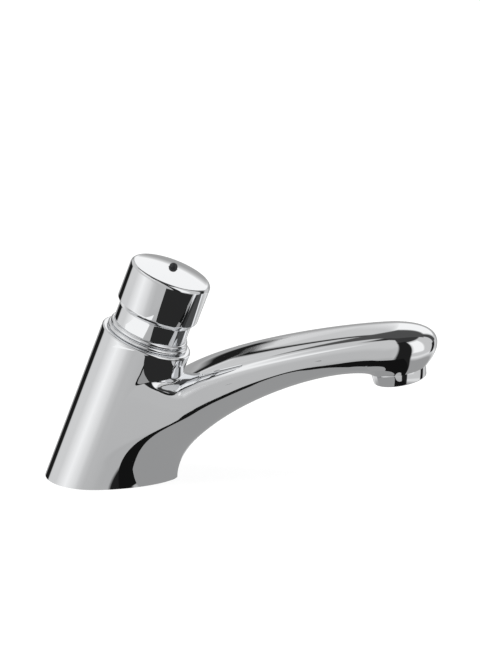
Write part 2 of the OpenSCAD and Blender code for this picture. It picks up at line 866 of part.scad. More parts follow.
module aerator_insert() {
    bottom = aerator_lip - aerator_h + screen_t;
    color(acetal)
        on_outlet(bottom)
            difference() {
                cylinder(r = aerator_bore_r - fit, h = aerator_seat - bottom);
                translate([0, 0, -over])
                    cylinder(r = aerator_bore_r - fit - insert_rib, h = aerator_seat - bottom - insert_plate + over);
                for (ring = [1 : 2])
                    for (i = [0 : 6 * ring - 1])
                        rotate([0, 0, 60 * i / ring])
                            translate([ring * insert_pitch, 0, 0])
                                cylinder(r = screen_hole_r, h = aerator_seat - bottom + over, $fn = 16);
            }
}

module aerator_screen() {
    color(steel)
        on_outlet(aerator_lip - aerator_h)
            screen(aerator_bore_r - fit, screen_t, screen_hole_r, screen_pitch);
}

body_casting();
base_seal();
inlet_strainer();
valve_seat();
seat_o_ring();
cartridge_sleeve();
sleeve_o_ring();
spring_washer();
return_spring();
metering_pin();
guide_gasket();
cartridge_guide();
spindle_seal();
collar_ring();
wiper_seal();
push_button();
button_marker();
button_lock_nut();
spindle();
retaining_ring();
piston_seal();
piston();
valve_washer();
valve_carrier();
valve_nut();
aerator_housing();
aerator_gasket();
aerator_insert();
aerator_screen();
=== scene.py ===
"""A push timed tap dressed for its studio picture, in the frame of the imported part, in metres."""

import logging
from dataclasses import dataclass, field
from enum import Enum
from math import acos, atan2, cos, degrees, hypot, pi, radians, sin, tan
from typing import Callable, Optional

import bmesh
import bpy
from mathutils import Matrix, Vector
from mathutils.kdtree import KDTree


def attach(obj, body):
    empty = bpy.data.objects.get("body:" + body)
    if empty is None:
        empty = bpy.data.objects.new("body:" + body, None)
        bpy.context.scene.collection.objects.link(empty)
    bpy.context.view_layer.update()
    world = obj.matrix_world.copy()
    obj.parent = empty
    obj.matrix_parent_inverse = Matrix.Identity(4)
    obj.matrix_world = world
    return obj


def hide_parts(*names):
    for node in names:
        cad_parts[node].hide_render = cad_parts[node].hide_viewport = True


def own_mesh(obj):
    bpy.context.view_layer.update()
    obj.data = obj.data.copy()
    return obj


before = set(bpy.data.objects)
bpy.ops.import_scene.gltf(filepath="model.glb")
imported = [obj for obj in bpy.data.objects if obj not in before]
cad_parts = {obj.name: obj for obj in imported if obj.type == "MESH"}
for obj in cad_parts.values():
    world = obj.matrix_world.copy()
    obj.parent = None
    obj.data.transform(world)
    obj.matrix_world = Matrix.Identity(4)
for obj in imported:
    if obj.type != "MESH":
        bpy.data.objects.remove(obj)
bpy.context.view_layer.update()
log = logging.getLogger("push_tap")

# One millimetre in metres
MM = 0.001
# Vertices nearer than this, in metres, are one vertex
MERGE = 1e-6
# Edges shorter than this, in metres, are taken out
SHORTEST = MERGE / 10


class Body(Enum):
    """The two bodies of the part that a piece can ride on."""

    TAP = "tap_body"
    PLUNGER = "plunger"


class Slot(Enum):
    """Material slots of the part's record."""

    CHROME = "chrome"
    BRASS = "brass"
    STEEL = "steel"
    RUBBER = "rubber"
    ACETAL = "acetal"
    DARK_PLASTIC = "dark_plastic"


def linear(hex_colour: str) -> tuple[float, float, float, float]:
    """Turns an sRGB hex colour to linear light.

    Args:
        hex_colour: six hex digits with a leading mark.

    Returns:
        Red, green, blue and a full alpha.
    """
    knee, foot_slope, lift, power = 0.04045, 12.92, 0.055, 2.4
    parts = [int(hex_colour[i:i + 2], 16) / 255 for i in (1, 3, 5)]
    red, green, blue = (c / foot_slope if c <= knee else ((c + lift) / (1 + lift)) ** power for c in parts)
    return red, green, blue, 1.0


def add_node(tree: bpy.types.NodeTree, kind: str, settings: Optional[dict] = None,
             links: Optional[dict] = None) -> bpy.types.Node:
    """Adds a shader node with its settings and links.

    Args:
        tree: the node tree that takes it.
        kind: the node's type name.
        settings: socket values by input name or index, and properties by attribute name.
        links: output sockets by input name or index.

    Returns:
        The new node.
    """
    node = tree.nodes.new(kind)
    for name, value in (settings or {}).items():
        if isinstance(name, str) and hasattr(node, name):
            setattr(node, name, value)
        else:
            node.inputs[name].default_value = value
    for name, socket in (links or {}).items():
        tree.links.new(socket, node.inputs[name])
    return node


def blank_material(name: str) -> tuple[bpy.types.Material, bpy.types.NodeTree]:
    """Makes a material with an empty node tree.

    Args:
        name: name of the material.

    Returns:
        The material and its tree.
    """
    made = bpy.data.materials.new(name)
    made.use_nodes = True
    made.node_tree.nodes.clear()
    return made, made.node_tree


def covered_mesh(bm: bmesh.types.BMesh, name: str, material: bpy.types.Material) -> bpy.types.Mesh:
    """Turns a bmesh to a mesh with one material.

    Args:
        bm: the finished bmesh, which is freed here.
        name: name of the mesh.
        material: what covers it.

    Returns:
        The mesh.
    """
    mesh = bpy.data.meshes.new(name)
    bm.to_mesh(mesh)
    bm.free()
    mesh.materials.append(material)
    return mesh


def add_object(name: str, data: bpy.types.ID) -> bpy.types.Object:
    """Puts a new object in the scene.

    Args:
        name: name of the object.
        data: its mesh, lamp or camera.

    Returns:
        The object.
    """
    made = bpy.data.objects.new(name, data)
    bpy.context.scene.collection.objects.link(made)
    return made


def only(geom: list, kind: type) -> list:
    """Elements of one kind out of an operator's mixed result."""
    return [item for item in geom if isinstance(item, kind)]


def edges_at(verts: list[bmesh.types.BMVert]) -> list[bmesh.types.BMEdge]:
    """Edges that end at some vertices, each once and in order."""
    return list(dict.fromkeys(edge for vert in verts for edge in vert.link_edges))


def unit_grid(bm: bmesh.types.BMesh, rows: int, columns: int) -> list[tuple[bmesh.types.BMVert, int, int]]:
    """Adds a flat grid for a surface to be laid on.

    Args:
        bm: the mesh that takes it.
        rows: steps along the grid.
        columns: steps across it.

    Returns:
        Each vertex with the number of its row and column.
    """
    half = 0.5
    verts = bmesh.ops.create_grid(bm, x_segments=columns, y_segments=rows, size=half)["verts"]
    return [(vert, round((vert.co.y + half) * rows), round((vert.co.x + half) * columns)) for vert in verts]


def ease(value: float) -> float:
    """Smooth step from 0 to 1."""
    part = min(max(value, 0.0), 1.0)
    return part * part * (3 - 2 * part)


def mix(first: float | Vector, second: float | Vector, part: float) -> float | Vector:
    """Value or point that lies the given part of the way between two."""
    return first + (second - first) * part


def heading(slope: float) -> Vector:
    """Direction in the side view at a slope in degrees above the level."""
    return Vector((cos(radians(slope)), sin(radians(slope))))


def bezier(points: list[Vector], t: float) -> Vector:
    """Point of a cubic curve."""
    u = 1 - t
    return points[0] * u ** 3 + points[1] * 3 * u * u * t + points[2] * 3 * u * t * t + points[3] * t ** 3


def bezier_speed(points: list[Vector], t: float) -> Vector:
    """Speed along a cubic curve.

    Args:
        points: the curve's ends with its two controls between them.
        t: place along the curve, from 0 to 1.

    Returns:
        How fast the point moves as t grows.
    """
    u = 1 - t
    legs = [points[i + 1] - points[i] for i in range(3)]
    return 3 * (legs[0] * u * u + legs[1] * 2 * u * t + legs[2] * t * t)


@dataclass(frozen=True)
class Finish:
    """A procedural finish made of a clouded colour, an uneven roughness and a fine relief.

    The speck size is the real size of the surface's grain, and the relief its depth.
    A cloud is many specks wide.
    """

    name: str
    hex_colour: str
    second_hex: str
    metallic: float
    roughness: float
    roughness_spread: float
    speck_mm: float
    relief_mm: float
    relief_strength: float = 0.25
    speck_detail: float = 3.0
    cloud_specks: float = 20.0
    cloud_detail: float = 2.0

    def material(self) -> bpy.types.Material:
        """Makes the finish once and hands out the same material after that.

        Returns:
            The material with its node tree.
        """
        known = bpy.data.materials.get(self.name)
        if known:
            return known
        made, tree = blank_material(self.name)
        speck_size = self.speck_mm * MM
        place = add_node(tree, "ShaderNodeTexCoord").outputs["Object"]
        speck = add_node(tree, "ShaderNodeTexNoise", {"Scale": 1 / speck_size, "Detail": self.speck_detail},
                         {"Vector": place}).outputs["Fac"]
        cloud = add_node(tree, "ShaderNodeTexNoise",
                         {"Scale": 1 / (self.cloud_specks * speck_size), "Detail": self.cloud_detail},
                         {"Vector": place}).outputs["Fac"]
        # A Mix node's colours are its inputs 6 and 7 and its output 2
        tint = add_node(tree, "ShaderNodeMix",
                        {"data_type": "RGBA", 6: linear(self.hex_colour), 7: linear(self.second_hex)},
                        {0: cloud}).outputs[2]
        smoothest = max(self.roughness - self.roughness_spread, 0.0)
        roughest = self.roughness + self.roughness_spread
        rough = add_node(tree, "ShaderNodeMapRange", {"To Min": smoothest, "To Max": roughest},
                         {"Value": cloud}).outputs["Result"]
        relief = add_node(tree, "ShaderNodeBump",
                          {"Strength": self.relief_strength, "Distance": self.relief_mm * MM},
                          {"Height": speck}).outputs["Normal"]
        shader = add_node(tree, "ShaderNodeBsdfPrincipled", {"Metallic": self.metallic},
                          {"Base Color": tint, "Roughness": rough, "Normal": relief})
        add_node(tree, "ShaderNodeOutputMaterial", None, {"Surface": shader.outputs["BSDF"]})
        return made


# Bright chromium plate over polished brass: a cool mirror with a faint haze and hardly any waviness
PLATED_CHROME = Finish("polished_chrome_plate", "#F4F5F6", "#EFF0F2", metallic=1.0, roughness=0.02,
                       roughness_spread=0.01, speck_mm=1.2, relief_mm=0.0003)
# Free-cutting brass, turned: warm yellow with a satin lathe bloom
TURNED_BRASS = Finish("turned_brass", "#C9A24E", "#B58E40", metallic=1.0, roughness=0.26,
                      roughness_spread=0.06, speck_mm=0.35, relief_mm=0.01)
# Stainless steel, drawn or pressed: grey with a soft grain
STAINLESS = Finish("stainless_steel", "#A9ACAE", "#989B9E", metallic=1.0, roughness=0.3,
                   roughness_spread=0.06, speck_mm=0.4, relief_mm=0.008)
# Nitrile rubber, moulded: near black and dull, with a fine tooth from the mould
NITRILE = Finish("nitrile_rubber", "#17181A", "#222325", metallic=0.0, roughness=0.62,
                 roughness_spread=0.1, speck_mm=0.3, relief_mm=0.02)
# Acetal, moulded: ivory white and waxy
ACETAL = Finish("moulded_acetal", "#E6E3DA", "#DAD6CB", metallic=0.0, roughness=0.38,
                roughness_spread=0.05, speck_mm=0.5, relief_mm=0.006)
# Black ABS, moulded: charcoal with a slight gloss
BLACK_ABS = Finish("moulded_black_abs", "#1B1C1E", "#26272A", metallic=0.0, roughness=0.35,
                   roughness_spread=0.06, speck_mm=0.4, relief_mm=0.01)

FINISH_OF_SLOT: dict[Slot, Finish] = {
    Slot.CHROME: PLATED_CHROME,
    Slot.BRASS: TURNED_BRASS,
    Slot.STEEL: STAINLESS,
    Slot.RUBBER: NITRILE,
    Slot.ACETAL: ACETAL,
    Slot.DARK_PLASTIC: BLACK_ABS,
}


def finished_piece(bm: bmesh.types.BMesh, name: str, body: Body, slot: Slot, stands_for: tuple[str, ...],
                   sharp_degrees: float = 32.0) -> bpy.types.Object:
    """Turns a bmesh to a dressed piece that rides on a body.

    Args:
        bm: the finished mesh, in metres in the part's frame; it is freed here.
        name: name of the piece.
        body: the body that it rides on.
        slot: material slot that it takes its finish from.
        stands_for: part nodes that it replaces.
        sharp_degrees: edges bent more than this stay crisp.

    Returns:
        The new object.
    """
    mesh = covered_mesh(bm, name, FINISH_OF_SLOT[slot].material())
    for face in mesh.polygons:
        face.use_smooth = True
    mesh.set_sharp_from_angle(angle=radians(sharp_degrees))
    piece = add_object(name, mesh)
    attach(piece, body.value)
    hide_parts(*stands_for)
    log.info("%s: %d faces for %s", name, len(mesh.polygons), ", ".join(stands_for))
    return piece


@dataclass(frozen=True)
class Axes:
    """Lines of the tap that its pieces are placed on, in millimetres and degrees."""

    barrel_foot_x: float = -7.5
    barrel_lean: float = 20.0
    outlet_x: float = 123.5
    outlet_z: float = 53.0
    outlet_tilt: float = 10.0

    def barrel(self) -> Matrix:
        """Frame whose z runs up the barrel from the deck."""
        return (Matrix.Translation((self.barrel_foot_x * MM, 0, 0))
                @ Matrix.Rotation(radians(self.barrel_lean), 4, "Y"))

    def outlet(self) -> Matrix:
        """Frame whose z runs into the outlet from the spout's mouth."""
        return (Matrix.Translation((self.outlet_x * MM, 0, self.outlet_z * MM))
                @ Matrix.Rotation(radians(-self.outlet_tilt), 4, "Y"))


class Lathe:
    """Draws a section with a pen and turns it to a round piece."""

    def __init__(self, radius: float, height: float) -> None:
        """Puts the pen down.

        Args:
            radius: distance from the axis in millimetres.
            height: distance along the axis in millimetres.
        """
        self.bm = bmesh.new()
        self.first = self.bm.verts.new((radius * MM, 0, height * MM))
        self.pen = self.first

    def line(self, radius: float, height: float) -> "Lathe":
        """Draws a straight stretch.

        Args:
            radius: where it ends, from the axis.
            height: where it ends, along the axis.

        Returns:
            The same lathe, for the next stretch.
        """
        self.pen = bmesh.ops.extrude_vert_indiv(self.bm, verts=[self.pen])["verts"][0]
        self.pen.co = Vector((radius, 0, height)) * MM
        return self

    def arc(self, radius: float, height: float, sweep: float, steps: int) -> "Lathe":
        """Draws a round stretch about a centre.

        Args:
            radius: distance of the centre from the axis.
            height: distance of the centre along the axis.
            sweep: how far it turns in degrees, positive from the axis's direction outwards.
            steps: facets along it.

        Returns:
            The same lathe, for the next stretch.
        """
        made = bmesh.ops.spin(self.bm, geom=[self.pen], cent=(radius * MM, 0, height * MM), axis=(0, 1, 0),
                              angle=radians(sweep), steps=steps, use_duplicate=False)
        self.pen = only(made["geom_last"], bmesh.types.BMVert)[0]
        return self

    def close(self) -> "Lathe":
        """Joins the pen to where it was put down."""
        self.bm.edges.new((self.pen, self.first))
        return self

    def turn(self, steps: int, place: Matrix) -> bmesh.types.BMesh:
        """Turns the section all the way round and puts it in place.

        Args:
            steps: facets round the axis.
            place: frame of the axis.

        Returns:
            The closed mesh with its faces outwards.
        """
        bmesh.ops.spin(self.bm, geom=self.bm.verts[:] + self.bm.edges[:], cent=(0, 0, 0), axis=(0, 0, 1),
                       angle=2 * pi, steps=steps, use_merge=True, use_duplicate=False)
        bmesh.ops.remove_doubles(self.bm, verts=self.bm.verts[:], dist=MERGE)
        bmesh.ops.recalc_face_normals(self.bm, faces=self.bm.faces[:])
        bmesh.ops.transform(self.bm, matrix=place, verts=self.bm.verts[:])
        return self.bm


def soften(bm: bmesh.types.BMesh, width_mm: float, least_degrees: float = 30.0, segments: int = 3,
           profile: float = 0.5) -> None:
    """Rounds every crisp edge of a mesh a little, as polishing does.

    Args:
        bm: the mesh.
        width_mm: width of the round.
        least_degrees: edges bent less than this are left.
        segments: facets across the round.
        profile: fullness of the round, where 0.5 is part of a circle.
    """
    crisp = [e for e in bm.edges if e.is_manifold and e.calc_face_angle() > radians(least_degrees)]
    bmesh.ops.bevel(bm, geom=crisp, offset=width_mm * MM, offset_type="OFFSET", affect="EDGES",
                    segments=segments, profile=profile, material=-1, clamp_overlap=True)


@dataclass
class Casting:
    """The cast body: a leaning barrel that flows into a spout, with its bores, sizes in millimetres."""

    axes: Axes
    # The side view's lengths, and the pulls and slopes of its curves
    barrel_r: float = 20.0
    rim: float = 67.5
    rim_round: float = 0.9
    foot_reach: float = 36.0
    mouth_r: float = 12.8
    crotch_len: float = 57.2
    crown_lead: float = 1.0
    crown_h: float = 72.3
    crown_half_w: float = 15.5
    foot_rise: float = 23.4
    arch_pull: float = 33.8
    arch_slope: float = -2.0
    shoulder_pull: float = 31.7
    shoulder_slope: float = 30.5
    crown_back_pull: float = 6.7
    crown_front_pull: float = 16.5
    nose_pull: float = 12.5
    nose_slope: float = 53.0
    # Places along the spout, from 0 at the deck to 1 at the mouth
    flank_end: float = 0.09
    root_end: float = 0.36
    nose_start: float = 0.93
    # Where the barrel's side lets go, and the corner that the valley starts from
    flank_len: float = 12.0
    corner_len: float = 55.5
    corner_lead: float = 8.0
    crotch_lead: float = 4.0
    # Squareness of the sections, where 2 is an ellipse
    foot_fullness: float = 1.6
    belly_fullness: float = 2.2
    corner_fullness: float = 16.0
    shoulder_fullness: float = 4.0
    # Bores, holes and the seal's groove
    counterbore_r: float = 18.05
    ledge: float = 50.7
    cartridge_r: float = 13.0
    seat_len: float = 29.0
    chamber_r: float = 9.0
    chamber_bottom: float = 14.7
    thread_r: float = 11.05
    thread_depth: float = 10.2
    inlet_r: float = 7.5
    inlet_depth: float = 9.035
    strainer_r: float = 6.9
    strainer_top: float = 10.335
    stud_x: float = 12.5
    stud_r: float = 3.4
    stud_depth: float = 12.0
    seal_inset: float = 1.6
    seal_w: float = 2.2
    seal_groove: float = 1.6
    # The valley's fillet, and the search for the valley's line
    valley_round: float = 4.0
    valley_taper: float = 0.6
    valley_passes: int = 14
    valley_skip: int = 6
    smooth_factor: float = 0.5
    search_steps: int = 200
    search_halvings: int = 24
    # Rows, columns and facets, with the rows gathered towards the valley's end
    row_gather: float = 1.6
    hole_facets: int = 64
    foot_steps: int = 12
    root_steps: int = 60
    spout_steps: int = 52
    nose_steps: int = 36
    low_columns: int = 40
    high_columns: int = 36
    rear_columns: int = 40
    wall_steps: int = 22
    rim_steps: int = 4
    # Worked out from the sizes above
    axis_dir: Vector = field(init=False)
    front_dir: Vector = field(init=False)
    mouth: Vector = field(init=False)
    crotch: Vector = field(init=False)
    underside: list[Vector] = field(init=False)
    spout_top: list[Vector] = field(init=False)
    nose: list[Vector] = field(init=False)
    flank_path: list[Vector] = field(init=False)
    corner_path: list[Vector] = field(init=False)
    rows: list[float] = field(init=False)
    flank_row: int = field(init=False)
    root_row: int = field(init=False)
    edge_turns: list[float] = field(init=False)
    join_len: float = field(init=False)
    wall_edge: list[tuple[float, float]] = field(init=False)
    bores: list[tuple[float, float]] = field(init=False)

    def __post_init__(self) -> None:
        """Draws the side view and sets out the skin."""
        self.draw_side_view()
        self.set_out_skin()

    def draw_side_view(self) -> None:
        """Works out the curves of the side view, from the foot of the barrel's axis."""
        lean = radians(self.axes.barrel_lean)
        self.axis_dir = Vector((sin(lean), cos(lean)))
        self.front_dir = Vector((cos(lean), -sin(lean)))
        across = heading(self.axes.outlet_tilt)
        outlet_reach = self.axes.outlet_x - self.axes.barrel_foot_x
        mouth = Vector((outlet_reach, self.axes.outlet_z))
        heel = mouth - self.mouth_r * across
        toe = mouth + self.mouth_r * across
        self.mouth = mouth
        self.crotch = self.crotch_len * self.axis_dir + self.barrel_r * self.front_dir
        crown = Vector((outlet_reach + self.crown_lead, self.crown_h))
        slope = heading(self.shoulder_slope)
        self.underside = [Vector((self.foot_reach, 0)), Vector((self.foot_reach, self.foot_rise)),
                          heel - self.arch_pull * heading(self.arch_slope), heel]
        self.spout_top = [self.crotch, self.crotch + self.shoulder_pull * slope,
                          crown - Vector((self.crown_back_pull, 0)), crown]
        self.nose = [crown, crown + Vector((self.crown_front_pull, 0)),
                     toe + self.nose_pull * heading(self.nose_slope), toe]
        root_centre = (bezier(self.underside, self.root_end) + self.crotch) / 2
        top_speed = bezier_speed(self.spout_top, 0) / (self.nose_start - self.root_end)
        root_speed = (bezier_speed(self.underside, self.root_end) + top_speed) / 2
        third = (self.root_end - self.flank_end) / 3
        self.flank_path = [self.flank_len * self.axis_dir,
                           self.flank_len * (1 + third / self.flank_end) * self.axis_dir,
                           root_centre - third * root_speed, root_centre]
        corner = self.corner_len * self.axis_dir
        self.corner_path = [corner, corner + self.corner_lead * self.front_dir,
                            self.crotch - self.crotch_lead * slope, self.crotch]

    def set_out_skin(self) -> None:
        """Spaces the skin's rows and finds where each of them runs into the barrel."""
        foot = [self.flank_end * i / self.foot_steps for i in range(self.foot_steps + 1)]
        root = [mix(self.root_end, self.flank_end, (1 - i / self.root_steps) ** self.row_gather)
                for i in range(1, self.root_steps + 1)]
        spout = [mix(self.root_end, self.nose_start, i / self.spout_steps)
                 for i in range(1, self.spout_steps + 1)]
        nose = [mix(self.nose_start, 1.0, i / self.nose_steps) for i in range(1, self.nose_steps + 1)]
        self.rows = foot + root + spout + nose
        self.flank_row = self.foot_steps
        self.root_row = self.foot_steps + self.root_steps
        self.edge_turns = [self.valley_turn(t) for t in self.rows]
        self.join_len = self.along(self.edge_point(self.flank_row + 1))
        self.wall_edge = self.wall_foot()
        self.bores = self.bore_rows()

    def flank_part(self, t: float) -> float:
        """How far a section is on its way from the barrel's side to the whole spout."""
        return max((t - self.flank_end) / (self.root_end - self.flank_end), 0.0)

    def section_top(self, t: float) -> Vector:
        """Upper end of a section in the side view.

        Args:
            t: place of the section, from 0 at the deck to 1 at the mouth.

        Returns:
            The end, on the corner under the collar, the spout's top or the nose.
        """
        if t <= self.root_end:
            return bezier(self.corner_path, self.flank_part(t))
        if t <= self.nose_start:
            return bezier(self.spout_top, (t - self.root_end) / (self.nose_start - self.root_end))
        return bezier(self.nose, (t - self.nose_start) / (1 - self.nose_start))

    def section_centre(self, t: float) -> Vector:
        """Middle of a section in the side view, where it is widest.

        Args:
            t: place of the section, from 0 at the deck to 1 at the mouth.

        Returns:
            The middle.
        """
        if t <= self.flank_end:
            return self.flank_len * t / self.flank_end * self.axis_dir
        if t <= self.root_end:
            return bezier(self.flank_path, self.flank_part(t))
        return (bezier(self.underside, t) + self.section_top(t)) / 2

    def half_width(self, t: float) -> float:
        """Half of a section's width.

        Args:
            t: place of the section, from 0 at the deck to 1 at the mouth.

        Returns:
            The half width, which narrows from the barrel to the crown and on to the mouth.
        """
        if t <= self.root_end:
            return self.barrel_r
        if t <= self.nose_start:
            part = ease((t - self.root_end) / (self.nose_start - self.root_end))
            return mix(self.barrel_r, self.crown_half_w, part)
        return mix(self.crown_half_w, self.mouth_r, ease((t - self.nose_start) / (1 - self.nose_start)))

    def fullness(self, t: float, upper: bool) -> float:
        """Squareness of half of a section.

        Args:
            t: place of the section, from 0 at the deck to 1 at the mouth.
            upper: whether it is the upper half.

        Returns:
            The power of the superellipse, where 2 is an ellipse.
        """
        if upper:
            root = mix(self.corner_fullness, self.shoulder_fullness, ease(self.flank_part(t)))
        else:
            root = mix(self.foot_fullness, self.belly_fullness, ease(t / self.root_end))
        return mix(root, 2.0, ease((t - self.root_end) / (1 - self.root_end)))

    def section_point(self, t: float, turn: float) -> Vector:
        """Point of the spout's skin, in millimetres from the axis foot.

        Args:
            t: place of the section, from 0 at the deck to 1 at the mouth.
            turn: angle round the section, from the underside to the top.

        Returns:
            The point, on the half of the casting that is mirrored later.
        """
        upper = turn > 0
        centre = self.section_centre(t)
        end = self.section_top(t) if upper else bezier(self.underside, t)
        power = self.fullness(t, upper)
        wide, high = abs(cos(turn)), abs(sin(turn))
        reach = (wide ** power + high ** power) ** (-1 / power)
        flat = centre + (end - centre) * (high * reach)
        return Vector((flat.x, self.half_width(t) * wide * reach, flat.y))

    def along(self, point: Vector) -> float:
        """Distance of a point along the barrel's axis."""
        return point.x * self.axis_dir.x + point.z * self.axis_dir.y

    def ahead(self, point: Vector) -> float:
        """Distance of a point in front of the barrel's axis."""
        return point.x * self.front_dir.x + point.z * self.front_dir.y

    def barrel_point(self, along: float, angle: float, radius: float) -> Vector:
        """Point about the barrel's axis, with the angle from the front."""
        flat = along * self.axis_dir + radius * cos(angle) * self.front_dir
        return Vector((flat.x, radius * sin(angle), flat.y))

    def valley_turn(self, t: float) -> float:
        """Angle round a section at which it runs into the barrel, by a search that halves its step.

        Args:
            t: place of the section, from 0 at the deck to 1 at the mouth.

        Returns:
            The angle, from 0 at the widest line to a right angle at the top.
        """
        if t <= self.flank_end:
            return 0.0
        if t >= self.root_end:
            return pi / 2
        turns = [pi / 2 * i / self.search_steps for i in range(1, self.search_steps + 1)]
        inside = next((a for a in turns if self.from_axis(self.section_point(t, a)) < self.barrel_r), pi / 2)
        outside = inside - pi / 2 / self.search_steps
        for _ in range(self.search_halvings):
            middle = (inside + outside) / 2
            if self.from_axis(self.section_point(t, middle)) < self.barrel_r:
                inside = middle
            else:
                outside = middle
        return outside

    def edge_point(self, number: int) -> Vector:
        """Point where a row of the skin runs into the barrel."""
        return self.section_point(self.rows[number], self.edge_turns[number])

    def from_axis(self, point: Vector) -> float:
        """Distance of a point from the barrel's axis."""
        return hypot(self.ahead(point), point.y)

    def mouth_point(self, turn: float, radius: float, depth: float) -> Vector:
        """Point about the outlet's axis.

        Args:
            turn: angle from the side towards the nose.
            radius: distance from the axis.
            depth: distance into the outlet.

        Returns:
            The point.
        """
        flat = (self.mouth + radius * sin(turn) * heading(self.axes.outlet_tilt)
                + depth * heading(self.axes.outlet_tilt + 90))
        return Vector((flat.x, radius * cos(turn), flat.y))

    def lay(self, bm: bmesh.types.BMesh, rows: int, columns: int,
            surface: Callable[[int, int], Vector]) -> None:
        """Adds a grid and lays it on a surface.

        Args:
            bm: the mesh that takes it.
            rows: steps along the grid.
            columns: steps across it.
            surface: gives the point of a row and column, in millimetres from the axis foot.
        """
        foot = Vector((self.axes.barrel_foot_x, 0, 0))
        for vert, row, column in unit_grid(bm, rows, columns):
            vert.co = (surface(row, column) + foot) * MM

    def mouth_rows(self) -> list[tuple[float, float]]:
        """Radius and depth of the outlet's face, thread bore and floor."""
        return [(self.thread_r, 0.0), (self.thread_r, self.thread_depth), (0.0, self.thread_depth)]

    def lower_skin(self, row: int, column: int) -> Vector:
        """Point of the skin from the underside to the widest line.

        Args:
            row: number of the row, from the deck to the mouth's floor.
            column: number of the column, from the underside up.

        Returns:
            The point.
        """
        turn = -pi / 2 * (1 - column / self.low_columns)
        if row < len(self.rows):
            return self.section_point(self.rows[row], turn)
        return self.mouth_point(turn, *self.mouth_rows()[row - len(self.rows)])

    def upper_skin(self, row: int, column: int) -> Vector:
        """Point of the skin from the widest line to the top or the valley.

        Args:
            row: number of the row, from the flank's start to the mouth's floor.
            column: number of the column, from the widest line up.

        Returns:
            The point.
        """
        part = column / self.high_columns
        number = row + self.flank_row
        if row == 0:
            return self.barrel_point(mix(self.flank_len, self.join_len, part), pi / 2, self.barrel_r)
        if number < len(self.rows):
            return self.section_point(self.rows[number], max(self.edge_turns[number] * part, 0.0))
        return self.mouth_point(pi / 2 * part, *self.mouth_rows()[number - len(self.rows)])

    def side_lengths(self) -> list[float]:
        """Spaces the rows that the barrel's back shares with the flank.

        Returns:
            Their distances along the barrel's side line.
        """
        foot = [self.flank_len * i / self.foot_steps for i in range(self.foot_steps + 1)]
        return foot + [mix(self.flank_len, self.join_len, i / self.high_columns)
                       for i in range(1, self.high_columns + 1)]

    def rear_skin(self, row: int, column: int) -> Vector:
        """Point of the barrel's back below the wall.

        Args:
            row: number of the row, from the deck up.
            column: number of the column, from the side to the back.

        Returns:
            The point.
        """
        angle = mix(pi / 2, pi, column / self.rear_columns)
        deck = self.barrel_r * cos(angle) * tan(radians(self.axes.barrel_lean))
        along = mix(deck, self.join_len, self.side_lengths()[row] / self.join_len)
        return self.barrel_point(along, angle, self.barrel_r)

    def wall_foot(self) -> list[tuple[float, float]]:
        """Follows the wall's lower edge from the crotch to the back.

        Returns:
            Angle from the front and distance along the axis of each point.
        """
        valley = [self.edge_point(number) for number in range(self.root_row, self.flank_row, -1)]
        front = [(atan2(point.y, self.ahead(point)), self.along(point)) for point in valley]
        rear = [(mix(pi / 2, pi, i / self.rear_columns), self.join_len)
                for i in range(self.rear_columns + 1)]
        return front + rear

    def bore_rows(self) -> list[tuple[float, float]]:
        """Follows the rim, the counterbore, the cartridge's bore and the chamber inwards.

        Returns:
            Radius and distance along the axis of each point.
        """
        edge = self.barrel_r - self.rim_round
        low = self.rim - self.rim_round
        angles = [pi / 2 * i / self.rim_steps for i in range(self.rim_steps + 1)]
        lip = [(edge + self.rim_round * cos(angle), low + self.rim_round * sin(angle)) for angle in angles]
        return lip + [(self.counterbore_r, self.rim), (self.counterbore_r, self.ledge),
                      (self.cartridge_r, self.ledge), (self.cartridge_r, self.seat_len),
                      (self.chamber_r, self.seat_len), (self.chamber_r, self.chamber_bottom),
                      (0.0, self.chamber_bottom)]

    def wall_skin(self, row: int, column: int) -> Vector:
        """Point of the wall above the valley and the back, or of the rim and the bores.

        Args:
            row: number of the row, up the wall and down the bores.
            column: number of the column, from the crotch to the back.

        Returns:
            The point.
        """
        angle, along = self.wall_edge[column]
        if row < self.wall_steps:
            height = mix(along, self.bores[0][1], row / self.wall_steps)
            return self.barrel_point(height, angle, self.barrel_r)
        radius, height = self.bores[row - self.wall_steps]
        return self.barrel_point(height, angle, radius)

    def build_skin(self) -> bmesh.types.BMesh:
        """Makes half of the skin from four sheets and mirrors it.

        Returns:
            The whole skin, open at the deck.
        """
        bm = bmesh.new()
        last = len(self.rows) - 1 + len(self.mouth_rows())
        self.lay(bm, last, self.low_columns, self.lower_skin)
        self.lay(bm, last - self.flank_row, self.high_columns, self.upper_skin)
        self.lay(bm, len(self.side_lengths()) - 1, self.rear_columns, self.rear_skin)
        self.lay(bm, self.wall_steps + len(self.bores) - 1, len(self.wall_edge) - 1, self.wall_skin)
        bmesh.ops.mirror(bm, geom=bm.verts[:] + bm.edges[:] + bm.faces[:], matrix=Matrix.Identity(4),
                         merge_dist=MERGE, axis="Y")
        bmesh.ops.remove_doubles(bm, verts=bm.verts[:], dist=MERGE)
        bmesh.ops.dissolve_degenerate(bm, dist=SHORTEST, edges=bm.edges[:])
        bmesh.ops.recalc_face_normals(bm, faces=bm.faces[:])
        return bm

